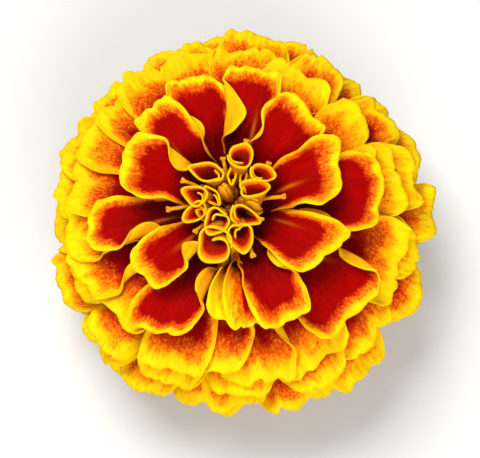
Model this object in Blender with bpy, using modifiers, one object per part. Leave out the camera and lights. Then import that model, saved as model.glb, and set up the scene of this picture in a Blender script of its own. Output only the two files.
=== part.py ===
"""A marigold flower head, as picked: snapped off just under its green cup and set down face up.

Three solids, in metres, +Z up, with the origin at the centre of the cut stalk, on the surface it stands on:
  ray_petals      the open petals in their whorls, grown from one column of packed floret tubes
  young_florets   the tuft in the middle: rolled florets, buds and forked styles on their common base
  calyx           the green cup that holds them, with its teeth, ribs and the stub of the stalk
"""

import math
import random

import bmesh
import bpy
import numpy as np

MM = 0.001

# Driving sizes of the head
BLOOM_RADIUS = 30.0 * MM  # the widest petals, from the axis
DOME_TOP = 33.0 * MM  # height that the dome of petal tips would have on the axis
DOME_DROP = 17.8 * MM  # how far below that the widest tips lie
DOME_POWER = 4.0  # 2 would be a round dome, and more is a flatter top
SIDE_LEAN = 0.035  # the outer whorls reach this share further towards +X than towards -X

# The column of floret tubes that the petals leave
COLUMN_RADIUS = 4.7 * MM
COLUMN_TOP = 24.0 * MM
LOWEST_ROOT = 17.0 * MM
HIGHEST_ROOT = 21.6 * MM
ROOT_DEPTH = 1.6 * MM  # how far inside the column a petal starts

# Petals
BLADE_THICKNESS = 0.62 * MM
CLAW_SHARE = 0.14  # width of a petal's claw, as a share of its blade
TIP_ROUNDING = 0.17  # how far the tip's corners fall back, as a share of the petal's length
BLADE_ROWS = 4
BLADE_COLUMNS = 3
SECTION_STEPS = 10  # steps in summing a blade's curved section

# The calyx and its stalk
STALK_RADIUS = 1.9 * MM
CUP_RADIUS = 5.9 * MM
CUP_RIM = 13.6 * MM
CUP_WALL = 0.9 * MM
CUP_FLOOR = 4.2 * MM
CUP_TEETH = 8
CUP_SIDES = 32
TOOTH_HEIGHT = 1.8 * MM
RIB_DEPTH = 0.25 * MM
SEAT_GAP = 0.3 * MM

SLIVER = 0.001 * MM  # what a union leaves smaller than this is closed up
SEED = 11

# The inner petals, one by one: azimuth (degrees), reach (mm), width (mm),
# and how far the right and left margins curl over the face (degrees).
INNER_PETALS = (
    (14, 17.4, 10.6, 0, 35),
    (50, 18.4, 10.4, 20, 45),
    (81, 21.6, 9.6, 20, 140),
    (107, 21.3, 10.4, 25, 10),
    (132, 19.0, 9.8, 110, 50),
    (162, 17.8, 10.2, 70, 15),
    (192, 22.2, 9.2, 15, 50),
    (220, 18.4, 9.4, 20, 100),
    (242, 23.0, 10.0, 0, 95),
    (262, 18.7, 8.6, 150, 20),
    (274, 20.4, 8.4, 20, 130),
    (293, 20.3, 9.8, 35, 95),
    (318, 24.7, 12.2, 0, 60),
    (325, 18.2, 10.6, 20, 0),
    (358, 22.4, 11.4, 60, 10),
)

# The whorl behind them: azimuth (degrees), reach (mm) and width (mm).
MIDDLE_PETALS = (
    (30, 23.4, 10.4),
    (59, 24.0, 10.8),
    (84, 25.0, 9.6),
    (103, 24.6, 9.0),
    (122, 25.6, 9.6),
    (138, 24.6, 9.0),
    (153, 24.6, 9.2),
    (171, 24.2, 11.4),
    (188, 25.2, 9.0),
    (205, 25.2, 9.8),
    (221, 24.0, 10.6),
    (250, 26.2, 9.6),
    (264, 24.8, 9.2),
    (278, 26.6, 10.6),
    (298, 26.6, 11.0),
    (341, 26.6, 12.6),
    (10, 25.6, 11.6),
)

# The outer whorls, by rule: count, azimuth of the first (degrees), reach (mm), height of the tips (mm),
# width (mm) and how far the margins turn (degrees, down if negative).
OUTER_WHORLS = (
    (15, 9.0, 28.0, 19.6, 10.6, -12),
    (16, 21.0, 29.8, 14.6, 11.6, -20),
    (11, 4.0, 27.8, 7.4, 11.6, -14),
)
SKIRT_COUNT = 8  # the oldest petals, which droop to the surface
SKIRT_REACH = 22.5 * MM
SKIRT_WIDTH = 11.4 * MM

# The rolled florets round the middle: azimuth (degrees), distance of the mouth from the axis (mm),
# mouth width and depth (mm), and height of the mouth (mm).
ROLLED_FLORETS = (
    (76, 5.0, 3.6, 3.4, 32.4),
    (31, 5.2, 3.0, 2.4, 31.8),
    (8, 3.3, 3.8, 2.2, 32.6),
    (336, 3.4, 3.8, 1.8, 31.6),
    (299, 3.9, 3.4, 2.6, 32.4),
    (281, 6.8, 3.4, 3.4, 31.8),
    (252, 8.1, 4.6, 4.2, 31.4),
    (240, 4.6, 3.2, 3.6, 32.8),
    (211, 6.1, 3.0, 2.4, 31.4),
    (187, 5.4, 3.4, 2.6, 32.0),
    (150, 5.0, 4.4, 2.4, 31.8),
)
FLORET_WALL = 0.6 * MM
FLORET_RINGS = (  # up the outside and down into the mouth: share of the height, and the wall taken off
    (0.0, 0.0),
    (0.55, 0.0),
    (1.0, 0.0),
    (1.0, FLORET_WALL),
    (0.62, FLORET_WALL),
)
FLORET_SIDES = 8
BUD_COUNT = 9  # closed florets in the very middle
BUD_RADIUS = 0.75 * MM
STYLES = (  # forked styles: azimuth (degrees), distance of the tip (mm), height of the tip (mm)
    (108, 5.2, 30.6),
    (45, 7.6, 31.2),
    (352, 8.6, 30.8),
    (298, 9.6, 30.6),
    (196, 9.8, 30.4),
    (162, 9.0, 30.6),
)
STYLE_RADIUS = 0.32 * MM
BASE_RADIUS = 3.4 * MM
BASE_BOTTOM = COLUMN_TOP + SEAT_GAP
BASE_CROWN = 1.3 * MM


def clear_scene():
    """Removes whatever the startup scene holds."""
    for thing in list(bpy.data.objects):
        bpy.data.objects.remove(thing)


def collection(name):
    """A new collection in the scene."""
    made = bpy.data.collections.new(name)
    bpy.context.scene.collection.children.link(made)
    return made


def material(name, colour, roughness):
    """A plain Principled material."""
    made = bpy.data.materials.new(name)
    made.use_nodes = True
    shader = made.node_tree.nodes["Principled BSDF"]
    shader.inputs["Base Color"].default_value = (*colour, 1.0)
    shader.inputs["Roughness"].default_value = roughness
    shader.inputs["Metallic"].default_value = 0.0
    return made


def mesh_object(name, bm, home):
    """An object made from a bmesh, which is freed."""
    mesh = bpy.data.meshes.new(name)
    bm.to_mesh(mesh)
    bm.free()
    made = bpy.data.objects.new(name, mesh)
    home.objects.link(made)
    return made


def turned(name, profile, steps, home):
    """A solid of revolution. The profile runs from the top down its outer side, as (radius, height)."""
    bm = bmesh.new()
    points = [bm.verts.new((radius, 0.0, height)) for radius, height in profile]
    for upper, lower in zip(points, points[1:]):
        bm.edges.new((upper, lower))
    made = mesh_object(name, bm, home)
    screw = made.modifiers.new("Turn", "SCREW")
    screw.steps = steps
    screw.render_steps = steps
    screw.use_merge_vertices = True
    screw.merge_threshold = 0.00001
    return made


def smooth_step(low, high, value):
    """0 below low, 1 above high, and smooth between."""
    share = np.clip((value - low) / (high - low), 0.0, 1.0)
    return share * share * (3.0 - 2.0 * share)


def dome_height(reach):
    """Height of a petal's tip at this distance from the axis."""
    return DOME_TOP - DOME_DROP * (reach / BLOOM_RADIUS) ** DOME_POWER


def petal(azimuth, reach, width, tip_height, cup, curls, chance):
    """One petal's sizes. Chance gives it the small differences that no two petals share."""
    return {
        "azimuth": azimuth,
        "reach": reach,
        "width": width,
        "tip_height": tip_height,
        "cup": cup,
        "curls": curls,
        "sway": chance.uniform(-0.08, 0.08),
        "roll": chance.uniform(-0.1, 0.1),
        "wave": chance.uniform(0.25, 0.5) * MM,
        "wave_count": chance.uniform(1.6, 2.6),
        "phases": [chance.uniform(0.0, math.tau) for _ in range(3)],
        "notch": chance.uniform(0.0, 0.05),
    }


def cup_by_height(tip_height):
    """How far the margins turn up (radians): young petals are scoops, and older ones lie open."""
    youth = (tip_height - 24.0 * MM) / (DOME_TOP - 24.0 * MM)
    return math.radians(4.0 + 34.0 * max(0.0, min(1.0, youth)))


def petal_plan():
    """Every open petal, from the middle of the head to the skirt."""
    chance = random.Random(SEED)
    plan = []
    for azimuth, reach, width, right, left in INNER_PETALS:
        height = dome_height(reach * MM)
        curls = (math.radians(right), math.radians(left))
        plan.append(
            petal(math.radians(azimuth), reach * MM, width * MM, height, cup_by_height(height), curls, chance)
        )
    for azimuth, reach, width in MIDDLE_PETALS:
        height = dome_height(reach * MM) - 0.8 * MM
        curls = (math.radians(chance.uniform(0, 40)), math.radians(chance.uniform(0, 40)))
        plan.append(
            petal(math.radians(azimuth), reach * MM, width * MM, height, cup_by_height(height), curls, chance)
        )
    for count, first, reach, height, width, turn in OUTER_WHORLS:
        for index in range(count):
            azimuth = math.radians(first + index * 360.0 / count + chance.uniform(-4.0, 4.0))
            lean = 1.0 + SIDE_LEAN * math.cos(azimuth)
            length = reach * MM * lean * chance.uniform(0.965, 1.02)
            tip = (height + chance.uniform(-1.0, 1.0)) * MM
            wide = width * MM * chance.uniform(0.9, 1.1)
            curls = (math.radians(chance.uniform(-10, 20)), math.radians(chance.uniform(-10, 20)))
            plan.append(petal(azimuth, length, wide, tip, math.radians(turn), curls, chance))
    for index in range(SKIRT_COUNT):
        azimuth = math.radians((index + 0.5) * 360.0 / SKIRT_COUNT + chance.uniform(-5.0, 5.0))
        reach = SKIRT_REACH * chance.uniform(0.97, 1.03)
        plan.append(petal(azimuth, reach, SKIRT_WIDTH, BLADE_THICKNESS / 2, math.radians(-12), (0.0, 0.0), chance))
    return plan


def petal_midrib(one):
    """The four control points, as (radius, height), of a petal's midrib."""
    share = one["tip_height"] / DOME_TOP
    root = LOWEST_ROOT + (HIGHEST_ROOT - LOWEST_ROOT) * share
    start = np.array((COLUMN_RADIUS - ROOT_DEPTH, root))
    end = np.array((one["reach"], one["tip_height"]))
    rise = math.radians(-12.0 + 84.0 * share**1.1)
    fall = math.radians(-66.0 + 66.0 * share**0.8)
    span = np.linalg.norm(end - start)
    out = start + 0.42 * span * np.array((math.cos(rise), math.sin(rise)))
    back = end - 0.36 * span * np.array((math.cos(fall), math.sin(fall)))
    return start, out, back, end


def blade_width(along):
    """Half the width of a blade along its length, as a share of its greatest half width."""
    opening = CLAW_SHARE + (1.0 - CLAW_SHARE) * smooth_step(0.14, 0.68, along)
    return opening * (1.0 - 0.14 * smooth_step(0.8, 1.0, along))


def petal_points(one, along, across):
    """Points of a petal's middle surface. Along runs from 0 at the root to 1 at the tip,
    and across from -1 at the right margin to 1 at the left one."""
    side = np.abs(across)
    notch = one["notch"] * np.exp(-((across / 0.22) ** 2)) + 0.02 * np.cos(7.0 * across + one["phases"][0])
    share = along * (1.0 - (TIP_ROUNDING * side**2.2 + notch) * smooth_step(0.35, 1.0, along))
    p0, p1, p2, p3 = petal_midrib(one)
    u = share[:, None]
    middle = (1 - u) ** 3 * p0 + 3 * (1 - u) ** 2 * u * p1 + 3 * (1 - u) * u**2 * p2 + u**3 * p3
    slope = (1 - u) ** 2 * (p1 - p0) + 2 * (1 - u) * u * (p2 - p1) + u**2 * (p3 - p2)
    slope /= np.linalg.norm(slope, axis=1, keepdims=True)

    half = 0.5 * one["width"] * blade_width(along)
    curl = np.where(across < 0, one["curls"][0], one["curls"][1]) * np.exp(-(((along - 0.6) / 0.2) ** 2))
    cup = one["cup"] * smooth_step(0.1, 0.7, along)
    steps = (np.arange(SECTION_STEPS) + 0.5) / SECTION_STEPS
    walk = side[:, None] * steps
    turn = cup[:, None] * walk + curl[:, None] * smooth_step(0.35, 1.0, walk)
    sideways = np.sign(across) * side * half * np.cos(turn).mean(axis=1)
    lift = side * half * np.sin(turn).mean(axis=1)

    edge = side**2 * smooth_step(0.3, 0.8, along)
    phase = np.where(across < 0, one["phases"][1], one["phases"][2])
    lift = lift + one["wave"] * edge * np.sin(math.tau * one["wave_count"] * along + phase)
    lift = lift + one["wave"] * along**6 * np.sin(4.0 * across + one["phases"][0])
    roll = one["roll"] * along
    sideways, lift = (
        sideways * np.cos(roll) - lift * np.sin(roll) + one["sway"] * one["width"] * share**2,
        sideways * np.sin(roll) + lift * np.cos(roll),
    )

    radius = middle[:, 0] - lift * slope[:, 1]
    height = middle[:, 1] + lift * slope[:, 0]
    height = np.maximum(height, BLADE_THICKNESS / 2)
    turned_x, turned_y = math.cos(one["azimuth"]), math.sin(one["azimuth"])
    return np.stack(
        (radius * turned_x - sideways * turned_y, radius * turned_y + sideways * turned_x, height), axis=1
    )


def petal_object(number, one, home):
    """A petal as a thin closed blade."""
    bm = bmesh.new()
    bmesh.ops.create_grid(bm, x_segments=BLADE_COLUMNS, y_segments=BLADE_ROWS, size=1.0)
    bm.verts.ensure_lookup_table()
    grid = np.array([vert.co[:] for vert in bm.verts])
    points = petal_points(one, (grid[:, 1] + 1.0) / 2.0, -grid[:, 0])
    for vert, point in zip(bm.verts, points):
        vert.co = point
    bmesh.ops.triangulate(bm, faces=bm.faces, quad_method="ALTERNATE")
    made = mesh_object(f"petal_{number:02d}", bm, home)
    blade = made.modifiers.new("Blade", "SOLIDIFY")
    blade.thickness = BLADE_THICKNESS
    blade.offset = 0.0
    return made


def fuse(body, home):
    """Joins a collection's objects to body, in one closed skin with nothing loose or sealed inside it."""
    union = body.modifiers.new("Grown together", "BOOLEAN")
    union.operation = "UNION"
    union.operand_type = "COLLECTION"
    union.collection = home
    union.solver = "MANIFOLD"
    bpy.context.view_layer.update()
    joined = bpy.data.meshes.new_from_object(body.evaluated_get(bpy.context.evaluated_depsgraph_get()))
    body.modifiers.clear()
    for grown in list(home.objects):
        bpy.data.objects.remove(grown)
    bpy.data.collections.remove(home)
    bm = bmesh.new()
    bm.from_mesh(joined)
    bmesh.ops.remove_doubles(bm, verts=bm.verts, dist=SLIVER)
    bmesh.ops.dissolve_degenerate(bm, edges=bm.edges, dist=SLIVER)
    bmesh.ops.triangulate(bm, faces=bm.faces)
    outer_skin = max(skins(bm), key=len)
    bmesh.ops.delete(bm, geom=[face for face in bm.faces if face not in outer_skin], context="FACES")
    bm.to_mesh(joined)
    bm.free()
    body.data = joined
    return body


def skins(bm):
    """The sets of faces that hang together by edges which only two of them share."""
    left = set(bm.faces)
    while left:
        skin = set()
        reached = [left.pop()]
        while reached:
            face = reached.pop()
            skin.add(face)
            for edge in face.edges:
                neighbours = set(edge.link_faces) & left
                if len(edge.link_faces) == 2 and neighbours:
                    left -= neighbours
                    reached.extend(neighbours)
        yield skin


def ray_petals(home, look):
    """The petals on their column."""
    profile = (
        (0.0, COLUMN_TOP),
        (COLUMN_RADIUS - 0.5 * MM, COLUMN_TOP),
        (COLUMN_RADIUS, COLUMN_TOP - 1.0 * MM),
        (COLUMN_RADIUS, CUP_RIM - 2.0 * MM),
        (COLUMN_RADIUS - 0.8 * MM, CUP_RIM - 5.0 * MM),
        (1.4 * MM, CUP_FLOOR + SEAT_GAP),
        (0.0, CUP_FLOOR + SEAT_GAP),
    )
    column = turned("ray_petals", profile, 24, home)
    column.data.materials.append(look)
    blades = collection("blades")
    for number, one in enumerate(petal_plan()):
        petal_object(number, one, blades)
    return fuse(column, blades)


def leaning_cup(name, axis, radii, home):
    """A closed skin of oval rings round a leaning axis: radii gives each ring's two half sizes."""
    bm = bmesh.new()
    rings = []
    for centre, (wide, deep) in zip(axis, radii):
        ring = []
        for index in range(FLORET_SIDES):
            angle = index * math.tau / FLORET_SIDES
            place = (centre[0] + deep * math.cos(angle), wide * math.sin(angle), centre[1] - 0.3 * deep * math.cos(angle))
            ring.append(bm.verts.new(place))
        rings.append(ring)
    loft(bm, rings)
    bmesh.ops.triangulate(bm, faces=bm.faces)
    return mesh_object(name, bm, home)


def loft(bm, rings):
    """A closed skin over rings of vertices that have equal counts, with a cap at each end."""
    for lower, upper in zip(rings, rings[1:]):
        for index, here in enumerate(lower):
            after = (index + 1) % len(lower)
            bm.faces.new((here, lower[after], upper[after], upper[index]))
    bm.faces.new(rings[0])
    bm.faces.new(rings[-1])
    bmesh.ops.recalc_face_normals(bm, faces=bm.faces)


def rolled_floret(number, row, home):
    """A young floret: a rolled blade, narrow at the base, flaring to an oval mouth that leans outwards."""
    azimuth, distance, wide, deep, height = row
    base = min(distance * 0.45, 2.5) * MM
    floor = BASE_BOTTOM + 0.5 * MM
    axis, radii = [], []
    for share, wall in FLORET_RINGS:
        axis.append((base + (distance * MM - base) * share**1.7, floor + (height * MM - floor) * share))
        grown = 0.3 + 0.7 * share**1.4
        radii.append((0.5 * wide * MM * grown - wall, 0.5 * deep * MM * grown - wall))
    made = leaning_cup(f"floret_{number}", axis, radii, home)
    made.rotation_euler.z = math.radians(azimuth)


def bud(number, home):
    """A closed floret in the middle, placed by the golden angle."""
    spread = 2.6 * MM * math.sqrt((number + 0.4) / BUD_COUNT)
    angle = number * math.radians(137.508)
    bm = bmesh.new()
    bmesh.ops.create_icosphere(bm, subdivisions=1, radius=BUD_RADIUS)
    height = 28.4 * MM - number * 0.16 * MM
    half = (height - BASE_BOTTOM) / 2
    for vert in bm.verts:
        vert.co.z = vert.co.z / BUD_RADIUS * half + BASE_BOTTOM + half + 0.4 * MM
        vert.co.x += spread * math.cos(angle)
        vert.co.y += spread * math.sin(angle)
    return mesh_object(f"bud_{number}", bm, home)


def style(number, row, home):
    """A style: a thin rod that leans outwards and forks at its tip."""
    azimuth, distance, height = row
    turn = math.radians(azimuth)
    start = np.array((2.6 * MM, 0.0, BASE_BOTTOM + 0.5 * MM))
    tip = np.array((distance * MM, 0.0, height * MM))
    knee = np.array((start[0] + 0.35 * (tip[0] - start[0]), 0.0, start[2] + 0.72 * (tip[2] - start[2])))
    runs = [(start, knee, tip - (tip - knee) * 0.15)]
    for way in (-1, 1):
        runs.append((tip - (tip - knee) * 0.3, tip + np.array((0.2, 0.45 * way, 0.2)) * MM))
    for part, run in enumerate(runs):
        rod = bpy.data.curves.new(f"style_{number}_{part}", "CURVE")
        rod.dimensions = "3D"
        rod.bevel_depth = STYLE_RADIUS
        rod.bevel_resolution = 0
        rod.use_fill_caps = True
        line = rod.splines.new("POLY")
        line.points.add(len(run) - 1)
        for point, place in zip(line.points, run):
            point.co = (*place, 1.0)
        guide = bpy.data.objects.new(rod.name, rod)
        guide.rotation_euler.z = turn
        home.objects.link(guide)
        as_mesh(guide, home)


def as_mesh(curve, home):
    """Turns a curve object into a mesh object with its caps welded."""
    bpy.context.view_layer.update()
    mesh = bpy.data.meshes.new_from_object(curve.evaluated_get(bpy.context.evaluated_depsgraph_get()))
    bm = bmesh.new()
    bm.from_mesh(mesh)
    bmesh.ops.remove_doubles(bm, verts=bm.verts, dist=0.000001)
    bm.to_mesh(mesh)
    bm.free()
    made = bpy.data.objects.new(curve.name + "_rod", mesh)
    made.matrix_world = curve.matrix_world
    home.objects.link(made)
    bpy.data.objects.remove(curve)
    return made


def young_florets(home, look):
    """The tuft in the middle of the head, on its own low crown."""
    profile = (
        (0.0, BASE_BOTTOM + BASE_CROWN),
        (0.6 * BASE_RADIUS, BASE_BOTTOM + 0.85 * BASE_CROWN),
        (BASE_RADIUS, BASE_BOTTOM + 0.3 * BASE_CROWN),
        (BASE_RADIUS, BASE_BOTTOM),
        (0.0, BASE_BOTTOM),
    )
    crown = turned("young_florets", profile, 20, home)
    crown.data.materials.append(look)
    tuft = collection("tuft")
    for number, row in enumerate(ROLLED_FLORETS):
        rolled_floret(number, row, tuft)
    for number in range(BUD_COUNT):
        bud(number, tuft)
    for number, row in enumerate(STYLES):
        style(number, row, tuft)
    return fuse(crown, tuft)


def calyx(home, look):
    """The cup: fused bracts with a rib down each, pointed teeth at the rim, and the stub of the stalk."""
    inner = CUP_RADIUS - CUP_WALL
    profile = (
        (inner - 1.6 * MM, CUP_FLOOR),
        (inner - 0.5 * MM, CUP_RIM - 5.5 * MM),
        (inner + 0.1 * MM, CUP_RIM - 2.0 * MM),
        (inner + 0.1 * MM, CUP_RIM),
        (CUP_RADIUS, CUP_RIM),
        (CUP_RADIUS + 0.2 * MM, CUP_RIM - 3.0 * MM),
        (CUP_RADIUS - 0.5 * MM, CUP_RIM - 6.5 * MM),
        (STALK_RADIUS + 1.7 * MM, CUP_FLOOR - 0.2 * MM),
        (STALK_RADIUS + 0.3 * MM, 2.0 * MM),
        (STALK_RADIUS, 0.0),
    )
    bm = bmesh.new()
    rings = []
    for place, (radius, height) in enumerate(profile):
        ring = []
        for index in range(CUP_SIDES):
            angle = index * math.tau / CUP_SIDES
            tooth = 0.5 + 0.5 * math.cos(CUP_TEETH * angle)
            outside = 4 < place < 8
            grown = radius + (RIB_DEPTH * tooth if outside else 0.0)
            raised = height + (TOOTH_HEIGHT * tooth**1.5 if place in (3, 4) else 0.0)
            ring.append(bm.verts.new((grown * math.cos(angle), grown * math.sin(angle), raised)))
        rings.append(ring)
    loft(bm, rings)
    made = mesh_object("calyx", bm, home)
    made.data.materials.append(look)
    return made


def main():
    clear_scene()
    head = collection("marigold_flower")
    ray_petals(head, material("petal_red_and_yellow", (0.72, 0.1, 0.0), 0.6))
    young_florets(head, material("floret_yellow", (0.85, 0.42, 0.02), 0.6))
    calyx(head, material("cup_green", (0.13, 0.27, 0.06), 0.5))


main()
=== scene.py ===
"""The finished looks of a double marigold head, laid out as a Blender add-on.

Everything is in metres in the frame of the solid part, with +Z up through the middle of the bloom.
The petals are laid from the middle of the head outwards, and each one sinks under those that lie over it.
"""

import math
import random

import bpy
import numpy as np
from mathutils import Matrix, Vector


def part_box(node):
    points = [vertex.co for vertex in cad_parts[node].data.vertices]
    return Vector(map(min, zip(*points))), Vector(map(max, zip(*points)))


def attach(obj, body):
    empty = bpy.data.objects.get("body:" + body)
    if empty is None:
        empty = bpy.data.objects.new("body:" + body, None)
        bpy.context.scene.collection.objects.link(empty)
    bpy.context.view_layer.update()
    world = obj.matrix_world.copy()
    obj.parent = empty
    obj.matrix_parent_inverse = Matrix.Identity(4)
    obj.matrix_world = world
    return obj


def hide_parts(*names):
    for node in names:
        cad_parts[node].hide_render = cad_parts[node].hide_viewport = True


bl_info = {
    "name": "Marigold Flower",
    "version": (1, 0, 0),
    "blender": (4, 5, 0),
    "location": "View3D > Sidebar > Marigold",
    "description": "Petals, florets, styles and cup of a double marigold head",
    "category": "Add Mesh",
}

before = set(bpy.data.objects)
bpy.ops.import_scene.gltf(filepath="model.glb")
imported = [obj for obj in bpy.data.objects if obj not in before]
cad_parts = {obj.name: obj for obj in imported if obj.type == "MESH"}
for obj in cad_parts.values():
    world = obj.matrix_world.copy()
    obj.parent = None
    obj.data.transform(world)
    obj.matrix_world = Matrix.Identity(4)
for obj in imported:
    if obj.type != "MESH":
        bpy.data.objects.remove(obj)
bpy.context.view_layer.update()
CUP_LOW, CUP_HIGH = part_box("calyx")

MM = 0.001

# How the petals stand on the head
DOME_POWER = 4.0
COLUMN_RADIUS = 4.7 * MM
LOWEST_ROOT = 17.0 * MM
HIGHEST_ROOT = 21.6 * MM
ROOT_DEPTH = 1.6 * MM
MIDDLE_DROP = 0.8 * MM

# How much further than their mean the outer whorls reach, as a share of it: towards +X, towards both ends
# of the Y axis, and round these azimuths (degrees), each with how far it spreads (degrees) and what it adds.
SIDE_LEAN = 0.03
END_LEAN = 0.03
BULGES = (
    (6.0, 11.0, 0.035),
    (32.0, 14.0, -0.03),
    (85.0, 26.0, 0.02),
    (188.0, 10.0, -0.03),
    (250.0, 6.0, -0.02),
)

# The outline and the folds of a petal
CLAW_SHARE = 0.5
LIP = 0.14 * MM
FOLD_RADIUS = 0.42 * MM
FOLD_TURN = math.radians(166.0)
FULL_FLAP = 1.3 * MM
SECTION_STEPS = 40

# How petals lie on one another
LAY_GAP = 0.4 * MM
MOST_SINK = 4.0 * MM
SINK_SPREAD = 10

# A petal that opens from a rolled tube: how far its right and left sides roll in below its mouth (radians),
# how much more it is cupped, over what share of the length its right and left sides open, and how gradually
# the left one does. A petal half open and one hardly open have their own mouths: how far along it starts, and
# how gradually the right side opens (lower is quicker). The one with the broadest yellow is hardly open.
TUBE_ROLL = (2.8, 2.0)
TUBE_CUP = 1.3
MOUTH_SPREAD = (0.5, 0.2)
LEFT_OPENING = 0.5
HALF_OPEN = (0.49, 0.5)
HARDLY_OPEN = (0.55, 0.8)
HARDLY_OPEN_YELLOW = 5.0

# The inner petals, one by one, topmost first: azimuth (degrees), reach (mm), width (mm), how much of the
# right and left margins folds over the face (mm), how far along the folds are widest, over what share they
# run out, how far the tip slants (a share of the length, back to the left if positive), and how many times as
# broad as the others' the yellow of the right margin is. Those with broad yellow open from a rolled tube.
INNER_PETALS = (
    (13, 16.2, 10.2, 0.0, 0.6, 0.75, 0.17, -0.06, 1.0),
    (326, 16.8, 9.8, 0.4, 0.0, 0.60, 0.17, -0.07, 1.0),
    (49, 17.0, 10.0, 0.1, 0.8, 0.62, 0.20, -0.03, 1.0),
    (163, 16.8, 9.8, 1.8, 0.2, 0.58, 0.15, 0.03, 1.0),
    (223, 18.0, 7.8, 0.2, 1.8, 0.60, 0.12, 0.0, 1.0),
    (133, 18.0, 7.4, 0.8, 0.3, 0.45, 0.20, 0.0, 1.0),
    (80, 20.0, 8.8, 0.3, 2.5, 0.67, 0.18, 0.0, 1.0),
    (293, 20.4, 8.8, 0.7, 1.6, 0.57, 0.14, 0.0, 1.0),
    (276, 19.8, 6.8, 0.0, 0.0, 0.50, 0.20, 0.0, 3.4),
    (267, 18.6, 6.4, 0.0, 0.0, 0.60, 0.20, 0.0, 8.4),
    (108, 19.0, 9.4, 0.3, 1.9, 0.62, 0.15, -0.07, 1.0),
    (240, 22.8, 9.8, 0.0, 1.7, 0.60, 0.16, 0.07, 1.0),
    (193, 21.8, 7.8, 0.1, 1.4, 0.66, 0.17, -0.03, 1.0),
    (3, 22.2, 12.2, 1.5, 0.1, 0.50, 0.24, -0.02, 1.0),
    (317, 24.6, 13.4, 0.0, 1.7, 0.80, 0.15, 0.0, 1.0),
)

# The whorl behind them: azimuth (degrees), reach (mm) and width (mm).
MIDDLE_PETALS = (
    (30, 23.4, 10.8),
    (61, 23.2, 11.2),
    (84, 25.0, 10.4),
    (103, 24.6, 10.0),
    (122, 25.6, 10.6),
    (138, 24.6, 10.0),
    (153, 24.6, 10.2),
    (171, 24.2, 11.8),
    (188, 25.2, 10.0),
    (205, 25.2, 10.6),
    (221, 24.0, 11.2),
    (250, 26.2, 10.6),
    (264, 25.2, 10.2),
    (278, 26.6, 11.4),
    (298, 26.6, 11.8),
    (341, 26.6, 13.0),
    (10, 25.6, 12.0),
)

# The outer whorls, by rule: count, azimuth of the first (degrees), reach (mm), height of the tips (mm),
# width (mm) and how far the margins turn (degrees, down if negative).
OUTER_WHORLS = (
    (15, 9.0, 28.0, 19.6, 10.8, -12),
    (16, 21.0, 29.8, 14.6, 12.2, -20),
    (11, 4.0, 27.8, 7.4, 12.4, -14),
)

# The oldest petals, which droop to the surface: count, reach (mm), height of the tips (mm), width (mm) and
# how far the margins turn (degrees, down if negative).
SKIRT = (8, 22.5, 0.3, 11.4, -12)

# The chance differences between like things
INNER_SEED = 11
OUTER_SEED = 177
FLORET_SEED = 5
STYLE_SEED = 3
BUD_SEED = 8

# The rolled florets round the middle: place of the mouth (mm), its length and breadth (mm), which way its
# length points (degrees), how many corners it has, how pointed and how dented it is, how far its inner margin
# tucks in, where round the mouth that margin lies (degrees), and place of the foot (mm).
ROLLED_FLORETS = (
    ((1.2, 5.3, 32.6), 3.9, 3.6, 70, 3, 0.4, 0.0, 0.4, 175, (0.7, 2.4)),
    ((4.3, 2.9, 32.2), 3.4, 2.8, 350, 3, 0.5, 0.0, 0.3, 150, (2.2, 1.4)),
    ((2.9, 0.5, 32.6), 4.4, 2.6, 12, 3, 0.4, 0.25, 0.2, 95, (2.5, -1.7)),
    ((1.5, -3.6, 32.1), 4.2, 2.7, 340, 3, 0.5, 0.1, 0.3, 120, (1.2, -1.8)),
    ((1.2, -6.6, 32.0), 4.0, 3.7, 280, 3, 0.5, 0.3, 0.5, 80, (0.6, -2.6)),
    ((-2.6, -8.0, 31.8), 5.0, 4.9, 310, 4, 0.1, 0.0, 0.55, 350, (-1.1, -2.5)),
    ((-2.3, -4.6, 32.6), 3.7, 3.4, 240, 3, 0.2, 0.1, 0.45, 30, (-1.2, -1.8)),
    ((-5.4, -2.9, 31.5), 3.4, 2.6, 215, 3, 0.5, 0.0, 0.25, 330, (-2.2, -1.3)),
    ((-4.0, -3.2, 31.0), 2.2, 1.7, 150, 3, 0.6, 0.0, 0.3, 330, (-1.8, -1.5)),
    ((-5.4, -0.6, 32.0), 3.5, 2.8, 150, 3, 0.5, 0.0, 0.4, 300, (-2.3, 0.0)),
    ((-2.9, -0.7, 31.7), 3.3, 1.7, 125, 4, 0.5, 0.1, 0.35, 300, (-1.6, -0.1)),
    ((-3.5, 3.0, 32.0), 5.2, 2.8, 160, 4, 0.5, 0.2, 0.25, 280, (-1.6, 1.4)),
    ((-0.1, 2.5, 31.8), 2.6, 1.2, 85, 4, 0.6, 0.0, 0.3, 200, (0.1, 1.3)),
    ((1.6, 2.5, 31.4), 2.2, 0.9, 75, 4, 0.6, 0.0, 0.3, 200, (0.9, 1.3)),
)
FLORET_FOOT = 24.9 * MM
FLORET_OVERLAP = 0.34
FLORET_HEIGHT = 8.0  # mm, of the unrolled blade that carries the colours
FLORET_GIRTH = 12.0  # mm, of the same blade
FLORET_LIP = 0.23  # mm, the breadth of its yellow
# Where the painted shade inside and outside a floret fades into its lip
LIP_START = 0.955
FLAT_SIDES = {3: 0.3, 4: 0.6}  # how flat the sides are between so many corners
SOFT_CORNERS = (-0.3, -0.1, 0.1, 0.3)  # radians either way that a corner is rounded over

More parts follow.
